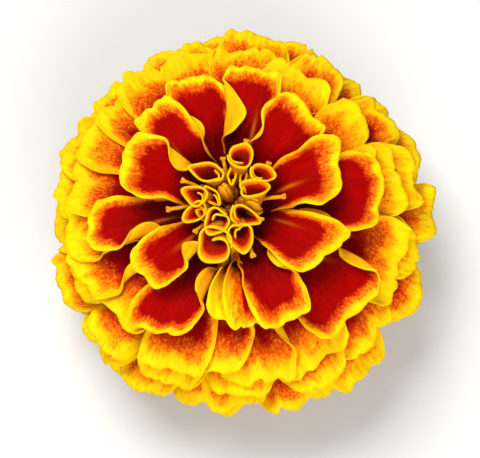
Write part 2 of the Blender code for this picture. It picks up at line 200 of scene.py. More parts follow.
# The closed florets between them: place (mm), height of the top (mm), half their thickness (mm), how many
# times as long as thick they are seen from above, and which way that length points (degrees).
CLOSED_BUDS = (
    (-1.3, 0.7, 32.4, 1.05, 1.25, 125),
    (3.3, -1.5, 32.5, 0.95, 1.9, 328),
    (4.2, -2.2, 29.8, 0.9, 1.0, 0),
    (0.3, 1.2, 29.6, 0.7, 1.2, 80),
    (1.0, -0.9, 29.4, 0.6, 1.2, 40),
    (-0.7, -1.5, 28.4, 0.7, 1.0, 0),
    (0.1, -2.4, 29.4, 0.7, 1.2, 60),
    (-3.4, -1.9, 30.4, 0.7, 1.2, 150),
    (2.4, 3.6, 30.4, 0.7, 1.4, 70),
    (-1.8, 2.0, 30.6, 0.7, 1.4, 150),
    (0.2, -0.2, 27.6, 0.8, 1.0, 0),
    (-0.4, -5.2, 30.2, 0.8, 1.2, 90),
    (-1.2, 4.2, 29.8, 0.8, 1.2, 100),
    (-4.6, 1.3, 30.4, 0.8, 1.3, 10),
)
BUD_GROOVE = 0.5  # mm, the depth of the groove over the top of one

# The forked styles: azimuth (degrees), distance of the tip (mm) and height of the tip (mm).
STYLES = (
    (107, 5.6, 31.0),
    (44, 7.1, 31.2),
    (353, 7.6, 31.0),
    (290, 9.8, 30.4),
    (225, 7.9, 30.6),
    (196, 9.8, 30.4),
    (163, 7.7, 31.0),
    (312, 6.0, 31.6),
    (73, 8.6, 30.6),
)
TUFT_FLOOR = 24.6 * MM
COLUMN_TOP = 24.1 * MM
COLUMN_RIBS = 26
COLUMN_SHOULDER = 0.82

# The cup
CUP_TEETH = 8
TOOTH_HEIGHT = 1.8 * MM
RIB_DEPTH = 0.25 * MM
CUP_FLOOR = 4.2 * MM
CUP_INSIDE = 3.6 * MM

# The whorls as pieces: what the plan calls them, rows and columns of faces on a petal, and how broad their
# yellow is at the sides and at the tips (mm).
WHORLS = (
    ("inner_petals", 48, 44, 0.35, 0.68),
    ("middle_petals", 48, 44, 0.45, 2.05),
    ("outer_petals", 44, 44, 0.55, 1.9),
    ("side_petals", 44, 44, 0.65, 1.9),
    ("lower_petals", 36, 36, 0.65, 2.0),
)


# What the paint of a blade follows, kept for each point of its mesh, and the shades it goes through inwards.
# The last mark is a painted highlight along a crease. The last shade is the dark foot of a petal, partly its
# own maroon and partly painted shade deep in the head.
MARKS = (("Margin", "Float"), ("Along", "Float"), ("Blade", "Vector"), ("Crease_highlight", "Float"))
SHADES = ("Yellow", "Orange", "Scarlet", "Red", "Depth")


# ---------------------------------------------------------------- modelling


def clean_selection():
    """Deselects everything, so that an operator only acts on what is made next."""
    bpy.ops.object.select_all(action="DESELECT")


def show_alone(piece):
    """Makes a piece the active and only selected object."""
    clean_selection()
    piece.select_set(True)
    bpy.context.view_layer.objects.active = piece


def apply_modifier(piece, kind, **settings):
    """Adds a modifier with these settings and applies it."""
    show_alone(piece)
    modifier = piece.modifiers.new(kind.title(), kind)
    for name, value in settings.items():
        setattr(modifier, name, value)
    bpy.ops.object.modifier_apply(modifier=modifier.name)


def join(pieces, name):
    """Joins like pieces into one, smooth-shaded."""
    clean_selection()
    for piece in pieces:
        piece.select_set(True)
    bpy.context.view_layer.objects.active = pieces[0]
    if len(pieces) > 1:
        bpy.ops.object.join()
    bpy.ops.object.shade_smooth()
    pieces[0].name = name
    pieces[0].data.name = name
    return pieces[0]


def finish_piece(piece, node):
    """Puts a piece on the root body and hides the solid that it stands for."""
    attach(piece, "root")
    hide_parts(node)


def store(piece, name, kind, values):
    """Keeps a value for each point of a piece's mesh under a name that its material reads."""
    field = "vector" if kind == "FLOAT_VECTOR" else "value"
    layer = piece.data.attributes.new(name, kind, "POINT")
    layer.data.foreach_set(field, np.ascontiguousarray(values, dtype=np.float32).ravel())


def blank_sheet(rows, columns):
    """A flat grid of faces to shape, with its points' places along (0 to 1) and across (1 to -1)."""
    clean_selection()
    bpy.ops.mesh.primitive_grid_add(x_subdivisions=columns, y_subdivisions=rows, size=2.0)
    sheet = bpy.context.object
    flat = np.empty(len(sheet.data.vertices) * 3, dtype=np.float32)
    sheet.data.vertices.foreach_get("co", flat)
    flat = flat.reshape(-1, 3).astype(float)
    return sheet, (flat[:, 1] + 1.0) / 2.0, -flat[:, 0]


def copy_of(piece):
    """A copy of a piece with its own mesh."""
    twin = piece.copy()
    twin.data = piece.data.copy()
    bpy.context.collection.objects.link(twin)
    return twin


def throw_away(piece):
    """Removes a piece that was only there to be copied."""
    bpy.data.objects.remove(piece)


def shape(sheet, points):
    """Moves a sheet's points to their places."""
    sheet.data.vertices.foreach_set("co", np.ascontiguousarray(points, dtype=np.float32).ravel())
    sheet.data.update()


def thicken(sheet, thickness, looks):
    """Gives a sheet its thickness, with the first look above and at the rim and the second below."""
    for look in looks:
        sheet.data.materials.append(look)
    apply_modifier(
        sheet, "SOLIDIFY", thickness=thickness, offset=0.0, material_offset=1, material_offset_rim=0
    )


def smooth_step(low, high, value):
    """0 below low, 1 above high, and smooth between."""
    share = np.clip((value - low) / (high - low), 0.0, 1.0)
    return share * share * (3.0 - 2.0 * share)


def towards(azimuth):
    """The level direction at this azimuth (radians)."""
    return np.array((math.cos(azimuth), math.sin(azimuth), 0.0))


# ---------------------------------------------------------------- petals


def dome_height(sizes, reach):
    """Height of a petal's tip at this distance from the axis."""
    return sizes.dome_top - sizes.dome_drop * (reach / sizes.bloom_radius) ** DOME_POWER


def cup_by_height(sizes, tip_height):
    """How far the margins turn up (radians): young petals are scoops, and older ones lie open."""
    youth = (tip_height - 24.0 * MM) / (sizes.dome_top - 24.0 * MM)
    return math.radians(4.0 + 26.0 * max(0.0, min(1.0, youth)))


def petal(azimuth, reach, width, tip_height, cup, flaps, chance):
    """One petal's sizes. Chance gives it the small differences that no two petals share."""
    return {
        "azimuth": math.radians(azimuth),
        "reach": reach,
        "width": width,
        "tip_height": tip_height,
        "cup": cup,
        "flaps": flaps,
        "flap_at": 0.62,
        "flap_length": 0.17,
        "claw": CLAW_SHARE,
        "tube": (0.0, 0.0),
        "mouth": (0.5, 0.5),
        "yellow": 1.0,
        "waist": [chance.uniform(0.04, 0.18) for _ in range(2)],
        "waist_at": chance.uniform(0.6, 0.7),
        "rounding": chance.uniform(0.05, 0.11),
        "squareness": chance.uniform(4.0, 9.0),
        "sway": chance.uniform(-0.08, 0.08),
        "roll": chance.uniform(-0.1, 0.1),
        "skew": chance.uniform(-0.03, 0.03),
        "wave": chance.uniform(0.35, 0.6) * MM,
        "wave_count": chance.uniform(1.4, 2.6),
        "pleat": 0.035 * MM,
        "lobes": chance.uniform(1.6, 3.4),
        "lobe_depth": chance.uniform(0.01, 0.03),
        "ragged": chance.uniform(0.2, 0.7),
        "notch": chance.choice((0.0, 0.0, 0.0, 0.03, 0.05)),
        "notch_at": chance.uniform(-0.6, 0.6),
        # A painted highlight along a lit crease on some petals: where across it lies and how strong it is
        "crease_highlight_at": chance.uniform(-0.5, 0.5),
        "crease_highlight": chance.choice((0.0, 0.0, 0.3, 0.5)),
        "phases": [chance.uniform(0.0, math.tau) for _ in range(5)],
    }


def inner_petals(sizes, chance):
    """The inner petals, with those among them that open from a rolled tube."""
    petals = []
    for azimuth, reach, width, right, left, flap_at, flap_length, skew, yellow in INNER_PETALS:
        height = dome_height(sizes, reach * MM)
        cup = cup_by_height(sizes, height)
        one = petal(azimuth, reach * MM, width * MM, height, cup, (right * MM, left * MM), chance)
        one |= {"flap_at": flap_at, "flap_length": flap_length, "skew": skew, "sway": 0.0, "notch": 0.0}
        if yellow > 1.0:
            one |= {"yellow": yellow, "claw": 1.0, "waist": (0.0, 0.0)}
            one |= {"cup": TUBE_CUP * cup, "tube": TUBE_ROLL}
            one["mouth"] = HALF_OPEN if yellow < HARDLY_OPEN_YELLOW else HARDLY_OPEN
        petals.append(one)
    return petals


def middle_petals(sizes, chance):
    """The whorl behind the inner petals."""
    petals = []
    for azimuth, reach, width in MIDDLE_PETALS:
        height = dome_height(sizes, reach * MM) - MIDDLE_DROP
        flaps = [chance.choice((0.0, 0.2, 0.5, 1.2)) * MM for _ in range(2)]
        cup = cup_by_height(sizes, height)
        one = petal(azimuth, reach * MM, width * MM, height, cup, flaps, chance)
        petals.append(one | {"flap_at": chance.uniform(0.62, 0.8)})
    return petals


def outline_share(azimuth):
    """The reach of the outer whorls at this azimuth (degrees), as a share of their mean reach."""
    share = 1.0 + SIDE_LEAN * math.cos(math.radians(azimuth))
    share += END_LEAN * math.sin(math.radians(azimuth)) ** 2
    for middle, spread, more in BULGES:
        away = (azimuth - middle + 180.0) % 360.0 - 180.0
        share += more * math.exp(-((away / spread) ** 2))
    return share


def outer_petals(whorl, chance):
    """One of the outer whorls, its petals evenly spaced but for small differences."""
    count, first, reach, height, width, turn = whorl
    petals = []
    for index in range(count):
        azimuth = first + index * 360.0 / count + chance.uniform(-4.0, 4.0)
        length = reach * MM * outline_share(azimuth) * chance.uniform(0.94, 1.03)
        tip = (height + chance.uniform(-1.0, 1.0)) * MM
        wide = width * MM * chance.uniform(0.9, 1.1)
        flaps = [chance.choice((0.0, 0.0, 0.3)) * MM for _ in range(2)]
        one = petal(azimuth, length, wide, tip, math.radians(turn), flaps, chance)
        one |= {"ragged": chance.uniform(0.5, 1.0), "rounding": chance.uniform(0.1, 0.19)}
        one["pleat"] = 0.06 * MM
        one["reach"] *= 1.0 + min(0.0, tip_outline(one, np.linspace(-1.0, 1.0, 41)).min())
        petals.append(one)
    return petals


def skirt_petals(chance):
    """The oldest petals, which droop until their tips touch the surface."""
    count, reach, height, width, turn = SKIRT
    petals = []
    for index in range(count):
        azimuth = (index + 0.5) * 360.0 / count + chance.uniform(-5.0, 5.0)
        length = reach * MM * chance.uniform(0.97, 1.03)
        petals.append(petal(azimuth, length, width * MM, height * MM, math.radians(turn), (0.0, 0.0), chance))
    return petals


def petal_plan(sizes):
    """Every open petal, in whorls from the middle of the head to the skirt."""
    chance = random.Random(INNER_SEED)
    plan = {"inner_petals": inner_petals(sizes, chance), "middle_petals": middle_petals(sizes, chance)}
    chance = random.Random(OUTER_SEED)
    for name, whorl in zip(("outer_petals", "side_petals", "lower_petals"), OUTER_WHORLS):
        plan[name] = outer_petals(whorl, chance)
    plan["lower_petals"] += skirt_petals(chance)
    return plan


def petal_midrib(sizes, one):
    """The four control points, as (radius, height), of a petal's midrib."""
    share = one["tip_height"] / sizes.dome_top
    root = LOWEST_ROOT + (HIGHEST_ROOT - LOWEST_ROOT) * share
    start = np.array((COLUMN_RADIUS - ROOT_DEPTH, root))
    end = np.array((one["reach"], one["tip_height"]))
    rise = math.radians(-12.0 + 88.0 * share**0.9)
    fall = math.radians(-68.0 + 64.0 * share**1.4)
    span = np.linalg.norm(end - start)
    out = start + 0.42 * span * np.array((math.cos(rise), math.sin(rise)))
    back = end - 0.36 * span * np.array((math.cos(fall), math.sin(fall)))
    return start, out, back, end


def half_width(one, along, across):
    """Half the width of a petal's outline along its length: wider to the tip, with a waist on the way."""
    opening = one["claw"] + (1.0 - one["claw"]) * smooth_step(0.16, 0.9, along)
    waist = np.where(across < 0, *one["waist"]) * np.exp(-(((along - one["waist_at"]) / 0.12) ** 2))
    return 0.5 * one["width"] * opening * (1.0 - waist) * (1.0 - 0.05 * smooth_step(0.88, 1.0, along))


def tip_outline(one, across):
    """How far a petal's end falls short of its full length, as a share of it: round, with shallow lobes."""
    p = one["phases"]
    lobes = one["lobe_depth"] * (1.0 - np.abs(np.cos(0.5 * math.pi * one["lobes"] * across + p[0])))
    ragged = 0.016 * np.cos(4.1 * across + p[3]) + 0.006 * np.cos(9.3 * across + p[4])
    ragged += 0.003 * np.cos(17.0 * across + p[1]) + 0.002 * np.cos(31.0 * across + p[2])
    notch = one["notch"] * np.exp(-(((across - one["notch_at"]) / 0.06) ** 2))
    corners = one["rounding"] * np.abs(across) ** one["squareness"]
    return corners + one["skew"] * across + lobes + one["ragged"] * ragged + notch


def margin_length(one, along, across):
    """The outline's half width, the local flap and the whole length of blade from midrib to margin."""
    half = half_width(one, along, across)
    flap = np.where(across < 0, one["flaps"][0], one["flaps"][1])
    flap = flap * np.exp(-(((along - one["flap_at"]) / one["flap_length"]) ** 2))
    turn = FOLD_TURN * smooth_step(0.0, FULL_FLAP, flap)
    start = np.maximum(half - FOLD_RADIUS * np.sin(np.minimum(turn, math.pi / 2)), 0.2 * half)
    return half, turn, start, start + FOLD_RADIUS * turn + flap


def section(one, along, across):
    """Sideways place and height over the midrib of points of a petal, before it waves."""
    half, turn, start, length = margin_length(one, along, across)
    side = np.abs(across)
    mouth, right_opening = one["mouth"]
    opening = np.clip((along - mouth) / np.where(across < 0, *MOUTH_SPREAD), 0.0, 1.0)
    opening = opening ** np.where(across < 0, right_opening, LEFT_OPENING)
    rolled = np.where(across < 0, *one["tube"]) * (1.0 - opening)
    cup = one["cup"] * smooth_step(0.1, 0.7, along) + rolled
    steps = (np.arange(SECTION_STEPS) + 0.5) / SECTION_STEPS
    walk = (side * length)[:, None] * steps
    folded = np.clip((walk - start[:, None]) / (FOLD_RADIUS * turn[:, None] + 1e-7), 0.0, 1.0)
    bent = cup[:, None] * np.minimum(walk / half[:, None], 1.0) + turn[:, None] * folded
    sideways = np.sign(across) * side * length * np.cos(bent).mean(axis=1)
    return sideways, side * length * np.sin(bent).mean(axis=1)


def waves(one, along, across, sideways):
    """How far a petal's blade waves up and down: broad waves in its margins, and fine ruffles to its tip."""
    p = one["phases"]
    edge = np.abs(across) ** 3 * smooth_step(0.25, 0.6, along)
    phase = np.where(across < 0, p[1], p[2])
    broad = edge * np.sin(math.tau * one["wave_count"] * along + phase)
    broad += along**6 * np.sin(4.0 * across + p[0])
    fine = (edge + along**6) * np.sin(13.0 * across + 9.0 * along + p[3]) * np.sin(23.0 * along + p[4])
    pleats = smooth_step(0.35, 0.9, along) * np.sin(sideways / (0.17 * MM) + 2.5 * np.sin(6.0 * along + p[3]))
    lip = smooth_step(0.9, 1.0, np.abs(across)) * smooth_step(0.3, 0.5, along) + smooth_step(0.95, 1.0, along)
    return one["wave"] * (broad + 0.35 * fine) + one["pleat"] * pleats + LIP * lip


def petal_points(sizes, one, along, across):
    """Points of a petal's middle surface. Along runs from 0 at the root to 1 at the tip,
    and across from -1 at the right margin to 1 at the left one."""
    share = along * (1.0 - tip_outline(one, across) * smooth_step(0.35, 1.0, along))
    p0, p1, p2, p3 = petal_midrib(sizes, one)
    u = share[:, None]
    middle = (1 - u) ** 3 * p0 + 3 * (1 - u) ** 2 * u * p1 + 3 * (1 - u) * u**2 * p2 + u**3 * p3
    slope = (1 - u) ** 2 * (p1 - p0) + 2 * (1 - u) * u * (p2 - p1) + u**2 * (p3 - p2)
    slope /= np.linalg.norm(slope, axis=1, keepdims=True)

    sideways, lift = section(one, along, across)
    lift = lift + waves(one, along, across, sideways)
    roll = one["roll"] * along
    sideways, lift = (
        sideways * np.cos(roll) - lift * np.sin(roll) + one["sway"] * one["width"] * share**2,
        sideways * np.sin(roll) + lift * np.cos(roll),
    )
    radius = middle[:, 0] - lift * slope[:, 1]
    height = middle[:, 1] + lift * slope[:, 0]
    out, aside = towards(one["azimuth"]), towards(one["azimuth"] + math.pi / 2)
    points = radius[:, None] * out + sideways[:, None] * aside
    points[:, 2] = height
    return points


class Canopy:
    """The underside of the petals laid so far: the lowest height over each small square of the ground."""

    CELL = 0.5 * MM
    REACH = 35.0 * MM

    def __init__(self):
        self.count = int(2 * self.REACH / self.CELL) + 3
        self.lowest = np.full((self.count, self.count), np.inf)

    def places(self, points):
        """Where points stand on the map, in squares."""
        return np.clip((points[..., :2] + self.REACH) / self.CELL + 1.0, 1.0, self.count - 2.001)

    def squares(self, points):
        """The squares that points stand over."""
        places = self.places(points).astype(int)
        return places[..., 0], places[..., 1]

    def over(self, points):
        """The lowest petal over each point or just beside it."""
        spread = self.lowest
        for axis in (0, 1):
            spread = np.minimum(spread, np.minimum(np.roll(spread, 1, axis), np.roll(spread, -1, axis)))
        return spread[self.squares(points)]

    def spread_sink(self, points, sink):
        """Spreads the sinking of some points over their whole neighbourhood, and gives it for every point."""
        field = np.zeros_like(self.lowest)
        np.maximum.at(field, self.squares(points), sink)
        for step in range(SINK_SPREAD + 2):
            around = sum(np.roll(field, way, axis) for axis in (0, 1) for way in (1, -1)) / 4
            field = np.maximum(field, around) if step < SINK_SPREAD else (field + around) / 2
        places = self.places(points) - 0.5
        corner = places.astype(int)
        x, y = corner[..., 0], corner[..., 1]
        part = places - corner
        low = field[x, y] * (1 - part[..., 0]) + field[x + 1, y] * part[..., 0]
        high = field[x, y + 1] * (1 - part[..., 0]) + field[x + 1, y + 1] * part[..., 0]
        return low * (1 - part[..., 1]) + high * part[..., 1]

    def add(self, grid):
        """Takes in a petal, given as rows of points."""
        grid = np.concatenate((grid, (grid[1:] + grid[:-1]) / 2), axis=0)
        grid = np.concatenate((grid, (grid[:, 1:] + grid[:, :-1]) / 2), axis=1)
        np.minimum.at(self.lowest, self.squares(grid), grid[..., 2])


def lay(canopy, points, along, rows):
    """Lays a petal under those above it: what would stand through them sinks, and the rest follows."""
    over = canopy.over(points)
    sink = np.where(np.isfinite(over), points[:, 2] + LAY_GAP - over, 0.0)
    free = smooth_step(0.22, 0.48, along)
    points = points.copy()
    points[:, 2] -= canopy.spread_sink(points, np.clip(sink, 0.0, MOST_SINK) * free) * free
    canopy.add(points.reshape(rows + 1, -1, 3))
    return points


def keep_marks(blade, one, along, across, bands, number):
    """Keeps what a petal's colours follow: how far in from its margin, how far along, and its own place."""
    side_band, tip_band = bands
    _, _, _, length = margin_length(one, along, across)
    reach = 1.15 * (one["reach"] - COLUMN_RADIUS + ROOT_DEPTH) / MM
    band = side_band * (0.35 + 0.65 * smooth_step(0.3, 0.6, along)) * np.where(across < 0, one["yellow"], 1.0)
    band += (tip_band - side_band) * smooth_step(0.78, 1.0, along)
    from_side = (1.0 - np.abs(across)) * length / MM / band + 0.001
    from_tip = (1.0 - along) * reach / tip_band + 0.001
    store(blade, "margin", "FLOAT", (from_side**-3 + from_tip**-3) ** (-1 / 3))
    # The dark foot, partly painted shade, reaches further out on longer petals
    store(blade, "along", "FLOAT", along + np.clip(0.1 - 0.045 * (one["reach"] / MM - 17.0), -0.1, 0.1))
    place = np.stack((across * length / MM, along * reach, np.full(len(along), 7.31 * number)), axis=1)
    store(blade, "blade", "FLOAT_VECTOR", place)
    # A painted highlight, orange along a lit crease
    crease_highlight = np.exp(-(((across - one["crease_highlight_at"]) / 0.07) ** 2)) * np.exp(-(((along - 0.5) / 0.12) ** 2))
    store(blade, "crease_highlight", "FLOAT", one["crease_highlight"] * crease_highlight)


def open_petals(sizes, colours):
    """Every whorl of petals, laid from the middle outwards, each whorl as a piece."""
    canopy = Canopy()
    plan = petal_plan(sizes)
    looks = petal_face(colours), petal_back(colours)
    for name, rows, columns, side_band, tip_band in WHORLS:
        chance = random.Random(name)
        blank, along, across = blank_sheet(rows, columns)
        across = np.sign(across) * np.abs(across) ** 0.9
        blades = []
        for one in plan[name]:
            points = lay(canopy, petal_points(sizes, one, along, across), along, rows)
            points[:, 2] = np.maximum(points[:, 2], sizes.petal_thickness / 2)
            blade = copy_of(blank)
            shape(blade, points)
            bands = side_band * chance.uniform(0.85, 1.2), tip_band * chance.uniform(0.8, 1.25)
            keep_marks(blade, one, along, across, bands, len(blades) + chance.random())
            thicken(blade, sizes.petal_thickness, looks)
            blades.append(blade)
        throw_away(blank)
        finish_piece(join(blades, name), "ray_petals")


# ---------------------------------------------------------------- the tuft in the middle


def rolled_points(row, around, up, chance):
    """Points of a rolled floret: around runs from its outer margin past a full turn to its inner one."""
    mouth, length, breadth, heading, corners, point, dent, tuck, margin_at, foot = row
    mouth, base = np.array(mouth), np.array((*foot, FLORET_FOOT / MM))
    out = np.array((mouth[0], mouth[1], 0.0)) / math.hypot(mouth[0], mouth[1])
    knee = base * (1.15, 1.15, 0.4) + (0.0, 0.0, 0.6 * mouth[2])
    rise = up[:, None]
    centre = (1 - rise) ** 2 * base + 2 * (1 - rise) * rise * knee + rise**2 * mouth
    angle = math.radians(margin_at - heading) + around * math.tau * (1.0 + FLORET_OVERLAP)
    from_corner = np.angle(np.exp(1j * angle))
    from_dent = np.angle(-np.exp(1j * angle))
    inside = smooth_step(0.62, 1.0, around)
    radius = 1.0 + 0.6 * point * (np.exp(-np.sqrt(from_corner**2 + 0.01) / 0.42) - 0.13)
    radius -= dent * np.exp(-((from_dent / 0.45) ** 2)) * up
    radius *= 1.0 - (0.12 + tuck) * inside
    half_side = math.pi / corners
    turned = (angle + turn for turn in SOFT_CORNERS)
    flat_sided = sum(1.0 / np.cos(turn % (2.0 * half_side) - half_side) for turn in turned)
    radius *= 1.0 + FLAT_SIDES[corners] * up * (flat_sided / flat_sided.mean() - 1.0)
    radius *= 1.0 + 0.05 * up * np.sin(3 * angle + chance.uniform(0, 6))
    flare = 0.22 + 0.78 * up**1.25 + 0.14 * smooth_step(0.88, 1.0, up)
    x = 0.45 * length * radius * np.cos(angle) * flare
    y = 0.45 * breadth * radius * np.sin(angle) * flare
    face = math.radians(heading)
    level = x[:, None] * towards(face) + y[:, None] * towards(face + math.pi / 2)
    dip = 0.22 * up**4 * np.sin(3 * angle + chance.uniform(0, 6)) - 0.7 * inside * up**3
    level[:, 2] = dip - 0.28 * (level @ out) * up
    return (centre + level) * MM


def rolled_florets(sizes, colours):
    """The young florets, each a blade rolled into a tube with its inner margin tucked in."""
    chance = random.Random(FLORET_SEED)
    blank, up, across = blank_sheet(24, 72)
    around = (1.0 - across) / 2.0
    looks = floret_outside(colours), floret_inside(colours)
    tubes = []
    for number, row in enumerate(ROLLED_FLORETS):
        tube = copy_of(blank)
        shape(tube, rolled_points(row, around, up, chance))
        store(tube, "margin", "FLOAT", (1.0 - up) * FLORET_HEIGHT / FLORET_LIP)
        # Painted shade deepens below the lip, to its darkest further down in a longer mouth
        painted_shade_below = 0.58 + 0.055 * row[1]
        store(tube, "along", "FLOAT", np.interp(up, (painted_shade_below, LIP_START, 1.0), (0.36, 0.68, 0.85)))
        place = np.stack((around * FLORET_GIRTH, up * FLORET_HEIGHT, np.full(len(up), number * 3.7)), axis=1)
        store(tube, "blade", "FLOAT_VECTOR", place)
        thicken(tube, sizes.floret_thickness, looks)
        tubes.append(tube)
    throw_away(blank)
    finish_piece(join(tubes, "rolled_florets"), "young_florets")


def rod(points, radius):
    """A thin round rod through these points, closed at its ends."""
    clean_selection()
    bpy.ops.curve.primitive_bezier_curve_add()
    guide = bpy.context.object
    line = guide.data.splines[0]
    line.bezier_points.add(len(points) - 2)
    for knot, place in zip(line.bezier_points, points):
        knot.co = place
        knot.handle_left_type = knot.handle_right_type = "AUTO"
    guide.data.bevel_depth = radius
    guide.data.bevel_resolution = 3
    guide.data.resolution_u = 6
    guide.data.use_fill_caps = True
    bpy.ops.object.convert(target="MESH")
    return bpy.context.object


def forked_styles(sizes, colours):
    """The thin orange styles that stand out round the tuft, each split in two curled arms."""
    chance = random.Random(STYLE_SEED)
    rods = []
    up = np.array((0.0, 0.0, MM))
    for azimuth, distance, height in STYLES:
        out = towards(math.radians(azimuth)) * MM
        aside = towards(math.radians(azimuth + 90.0)) * MM
        foot = out * 2.4 + (0.0, 0.0, TUFT_FLOOR)
        tip = out * distance + up * height + aside * chance.uniform(-0.5, 0.5)
        knee = foot + 0.45 * (tip - foot) + up * 1.6 - out * 0.5
        fork = foot + 0.92 * (tip - foot) + up * 0.4
        rods.append(rod((foot, knee, fork), sizes.style_radius))
        for way in (-1.0, 1.0):
            reach = chance.uniform(0.12, 0.28)
            bend = fork + 0.5 * (tip - fork) + aside * way * 0.2
            end = tip + aside * way * reach + up * chance.uniform(-0.1, 0.3)
            rods.append(rod((fork, bend, end), 0.85 * sizes.style_radius))
    piece = join(rods, "forked_styles")
    piece.data.materials.clear()
    piece.data.materials.append(style_orange(colours))
    finish_piece(piece, "young_florets")


def closed_buds(sizes, colours):
    """The unopened florets between the rolled ones: small ribbed beans that lean out, grooved on top."""
    chance = random.Random(BUD_SEED)
    blank, up, across = blank_sheet(36, 48)
    angle = -across * math.pi
    look = bud_ochre(colours)
    buds = []
    foot = TUFT_FLOOR / MM - 0.1
    for x, y, top, half, stretch, heading in CLOSED_BUDS:
        girth = half * np.sin(math.pi * up**1.4) ** 0.5
        twist = 1.6 * up + chance.uniform(0.0, math.tau)
        girth = girth * (1.0 + 0.06 * np.cos(3 * angle + twist) + 0.03 * np.cos(8 * angle + 2.0 * twist))
        long, thick = girth * np.cos(angle) * stretch, girth * np.sin(angle)
        groove = smooth_step(0.6, 0.95, up) * np.exp(-(((thick - 0.12 * np.sin(2.2 * long)) / 0.13) ** 2))
        lean = 0.45 + 0.55 * up**1.5
        lengthwise, crosswise = towards(math.radians(heading)), towards(math.radians(heading + 90.0))
        points = long[:, None] * lengthwise + thick[:, None] * crosswise
        points += np.stack((x * lean, y * lean, foot + up * (top - foot) - BUD_GROOVE * groove), axis=1)
        bud = copy_of(blank)
        shape(bud, points * MM)
        # The groove over the top is painted darker, as shade in it
        store(bud, "along", "FLOAT", up - 0.5 * groove)
        apply_modifier(bud, "WELD", merge_threshold=0.01 * MM)
        bud.data.materials.append(look)
        buds.append(bud)
    throw_away(blank)
    finish_piece(join(buds, "closed_buds"), "young_florets")


def floret_column(sizes, colours):
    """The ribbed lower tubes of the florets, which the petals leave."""
    column, up, across = blank_sheet(52, 8 * COLUMN_RIBS)
    angle = -across * math.pi
    bottom = cup_rim() - CUP_INSIDE + 0.2 * MM
    ribs = 1.0 + 0.035 * np.abs(np.cos(COLUMN_RIBS / 2 * angle))
    rise = np.clip((up - 0.04) / (COLUMN_SHOULDER - 0.04), 0.0, 1.0)
    rounded = np.sqrt(np.clip(1.0 - smooth_step(COLUMN_SHOULDER, 1.0, up) ** 2, 0.0, 1.0))
    radius = COLUMN_RADIUS * 0.97 * ribs * rounded * np.clip(up / 0.04, 0.0, 1.0)
    height = bottom + (COLUMN_TOP - bottom) * rise
    shape(column, np.stack((radius * np.cos(angle), radius * np.sin(angle), height), axis=1))
    apply_modifier(column, "WELD", merge_threshold=0.01 * MM)
    column.data.materials.append(column_green(colours))
    finish_piece(join([column], "floret_column"), "ray_petals")


# ---------------------------------------------------------------- cup and stalk


def cup_rim():
    """Height of the cup's rim between its teeth."""
    return CUP_HIGH.z - TOOTH_HEIGHT


def cup_profile(sizes):
    """The cup's outline as (radius, height), from the cut end up the outside and down the inside."""
    rim, wide, stalk = cup_rim(), sizes.cup_radius, sizes.stalk_radius
    return np.array(
        (
            (0.0, 0.0),
            (0.95 * stalk, 0.0),
            (stalk, 0.12 * MM),
            (stalk, 1.2 * MM),
            (stalk + 0.3 * MM, 2.1 * MM),
            (stalk + 1.5 * MM, CUP_FLOOR - 0.3 * MM),
            (wide - 0.9 * MM, 5.6 * MM),
            (wide - 0.3 * MM, rim - 6.0 * MM),
            (wide + 0.15 * MM, rim - 3.4 * MM),
            (wide + 0.05 * MM, rim - 1.2 * MM),
            (wide - 0.1 * MM, rim),
            (wide - 0.4 * MM, rim - 0.1 * MM),
            (wide - 0.75 * MM, rim - 1.2 * MM),
            (wide - 0.9 * MM, rim - CUP_INSIDE),
            (0.0, rim - CUP_INSIDE),
        )
    )


def green_cup(sizes, colours):
    """The cup of fused bracts, with ribs, glands and pointed teeth, and the ridged stub of the stalk."""
    wall, up, across = blank_sheet(170, 192)
    angle = -across * math.pi
    profile = cup_profile(sizes)
    runs = np.concatenate(((0.0,), np.cumsum(np.linalg.norm(np.diff(profile, axis=0), axis=1))))
    walk = up * runs[-1]
    radius = np.interp(walk, runs, profile[:, 0])
    height = np.interp(walk, runs, profile[:, 1])
    bract = 0.5 + 0.5 * np.cos(CUP_TEETH * angle)
    ribbing = smooth_step(runs[4], runs[7], walk) * (1.0 - smooth_step(runs[10], runs[11], walk))
    ridges = smooth_step(0.0, runs[3], walk) * (1.0 - smooth_step(runs[4], runs[6], walk))
    radius = radius + RIB_DEPTH * bract * ribbing + 0.12 * MM * np.cos(6 * angle) * ridges
    radius = radius + 0.10 * MM * np.abs(np.cos(CUP_TEETH / 2 * angle)) ** 12 * ribbing
    near_rim = np.exp(-(((walk - runs[10]) / (1.6 * MM)) ** 2))
    height = height + TOOTH_HEIGHT * bract**1.5 * near_rim
    shape(wall, np.stack((radius * np.cos(angle), radius * np.sin(angle), height), axis=1))
    apply_modifier(wall, "WELD", merge_threshold=0.005 * MM)
    wall.data.materials.append(cup_skin(colours))
    finish_piece(join([wall], "green_cup"), "calyx")


# ---------------------------------------------------------------- materials


